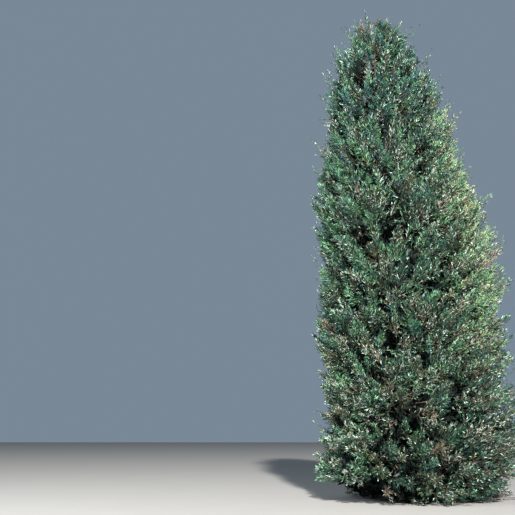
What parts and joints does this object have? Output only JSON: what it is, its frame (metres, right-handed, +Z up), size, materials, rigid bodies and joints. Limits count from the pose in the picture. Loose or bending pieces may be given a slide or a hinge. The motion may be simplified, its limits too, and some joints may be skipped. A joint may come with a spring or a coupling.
{
  "type": "eastern red cedar tree",
  "caption": "Tall dense evergreen conifer with a straight tapering trunk, rising boughs and pointed masses of scale-leaved foliage from the ground to a blunt tip.",
  "frame": {"origin": "centre of the flat cut under the trunk, at ground level", "axes": "+Z up along the tree, +X towards the broad flank, which is on the right in the picture, and -Y towards the viewer"},
  "size_m": [4.8774, 4.6755, 11.9706],
  "materials": {
    "bark": "dull, fibrous, shedding in narrow vertical strips, reddish brown weathered to grey",
    "foliage": "matt to faintly waxy scale leaves, deep green, yellow green on the sunny flank, with some tan dead twiglets"
  },
  "bodies": {
    "root": {"trunk": "bark", "bough_1_1": "bark", "foliage_1_1": "foliage", "bough_1_2": "bark", "foliage_1_2": "foliage", "bough_1_3": "bark", "foliage_1_3": "foliage", "bough_1_4": "bark", "foliage_1_4": "foliage", "bough_1_5": "bark", "foliage_1_5": "foliage", "bough_2_1": "bark", "foliage_2_1": "foliage", "bough_2_2": "bark", "foliage_2_2": "foliage", "bough_2_3": "bark", "foliage_2_3": "foliage", "bough_2_4": "bark", "foliage_2_4": "foliage", "bough_2_5": "bark", "foliage_2_5": "foliage", "bough_3_1": "bark", "foliage_3_1": "foliage", "bough_3_2": "bark", "foliage_3_2": "foliage", "bough_3_3": "bark", "foliage_3_3": "foliage", "bough_3_4": "bark", "foliage_3_4": "foliage", "bough_3_5": "bark", "foliage_3_5": "foliage", "bough_4_1": "bark", "foliage_4_1": "foliage", "bough_4_2": "bark", "foliage_4_2": "foliage", "bough_4_3": "bark", "foliage_4_3": "foliage", "bough_4_4": "bark", "foliage_4_4": "foliage", "bough_4_5": "bark", "foliage_4_5": "foliage", "bough_5_1": "bark", "foliage_5_1": "foliage", "bough_5_2": "bark", "foliage_5_2": "foliage", "bough_5_3": "bark", "foliage_5_3": "foliage", "bough_5_4": "bark", "foliage_5_4": "foliage", "bough_5_5": "bark", "foliage_5_5": "foliage", "foliage_6_1": "foliage", "foliage_6_2": "foliage", "foliage_6_3": "foliage", "foliage_6_4": "foliage", "foliage_7_1": "foliage", "foliage_7_2": "foliage", "foliage_7_3": "foliage", "foliage_8_1": "foliage", "foliage_8_2": "foliage"}
  },
  "joints": []
}
